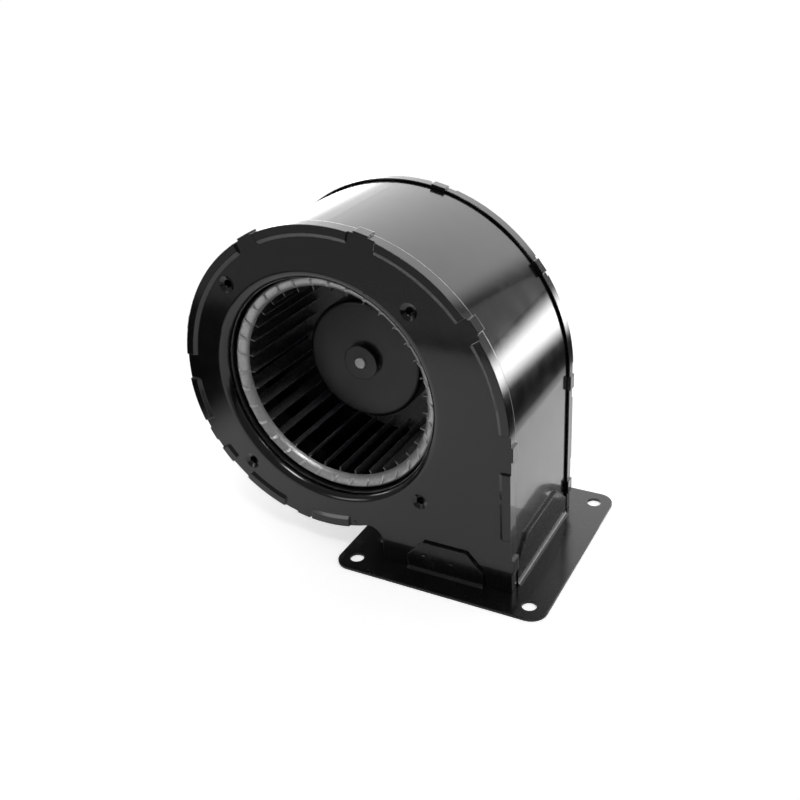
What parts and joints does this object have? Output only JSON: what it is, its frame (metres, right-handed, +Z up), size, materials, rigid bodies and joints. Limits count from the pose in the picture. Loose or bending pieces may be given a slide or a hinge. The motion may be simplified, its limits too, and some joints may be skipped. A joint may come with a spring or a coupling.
{
  "type": "centrifugal blower",
  "caption": "Single-inlet centrifugal blower: sheet-steel scroll housing with outlet flange, forward-curved impeller on an external-rotor motor.",
  "frame": {"origin": "centre of the flange's four-hole pattern on the flange's seating face", "axes": "+X along the inlet plate, towards the outlet side of the scroll; +Y from the inlet plate towards the motor's plate; +Z up, away from the surface that the flange seats on"},
  "size_m": [0.211, 0.121, 0.1866],
  "materials": {
    "housing_paint": "gloss black",
    "flange_paint": "satin black",
    "rotor_paint": "satin black",
    "blade_steel": "galvanised",
    "shaft_steel": "ground",
    "bearing_steel": "polished",
    "zinc_steel": "zinc plated",
    "electrical_steel": "laminated",
    "copper_wire": "enamelled",
    "cast_aluminium": "as cast",
    "insulator_plastic": "matt",
    "grommet_rubber": "matt"
  },
  "bodies": {
    "housing": {"inlet_side_plate": "housing_paint", "rear_side_plate": "housing_paint", "scroll_wall": "housing_paint", "outlet_flange": "flange_paint", "motor_bracket": "cast_aluminium", "motor_screws": "zinc_steel", "stator_core": "electrical_steel", "stator_windings": "copper_wire", "front_stator_insulator": "insulator_plastic", "rear_stator_insulator": "insulator_plastic", "front_bearing_outer_ring": "bearing_steel", "rear_bearing_outer_ring": "bearing_steel", "front_bearing_shields": "bearing_steel", "rear_bearing_shields": "bearing_steel", "preload_spring": "zinc_steel", "cable_grommet": "grommet_rubber"},
    "impeller_rotor": {"impeller_blades": "blade_steel", "impeller_front_ring": "blade_steel", "impeller_back_plate": "blade_steel", "rotor_can": "rotor_paint", "rotor_hub": "rotor_paint", "rotor_shaft": "shaft_steel", "retaining_ring": "zinc_steel", "rotor_laminations": "electrical_steel", "rotor_end_rings": "cast_aluminium", "front_bearing_inner_ring": "bearing_steel", "rear_bearing_inner_ring": "bearing_steel"},
    "front_ball_set": {"front_bearing_balls": "bearing_steel", "front_bearing_cage": "insulator_plastic"},
    "rear_ball_set": {"rear_bearing_balls": "bearing_steel", "rear_bearing_cage": "insulator_plastic"}
  },
  "joints": [
    {"name": "impeller_spin", "type": "hinge", "parent": "housing", "child": "impeller_rotor", "pos_m": [-0.0648, 0, 0.0967], "axis": [0, 1, 0], "continuous": true},
    {"name": "front_balls_orbit", "type": "hinge", "parent": "housing", "child": "front_ball_set", "pos_m": [-0.0648, 0, 0.0967], "axis": [0, 1, 0], "continuous": true},
    {"name": "rear_balls_orbit", "type": "hinge", "parent": "housing", "child": "rear_ball_set", "pos_m": [-0.0648, 0, 0.0967], "axis": [0, 1, 0], "continuous": true}
  ],
  "couplings": [
    {"joint": "front_balls_orbit", "follows": "impeller_spin", "ratio": 0.3769},
    {"joint": "rear_balls_orbit", "follows": "impeller_spin", "ratio": 0.3769}
  ]
}
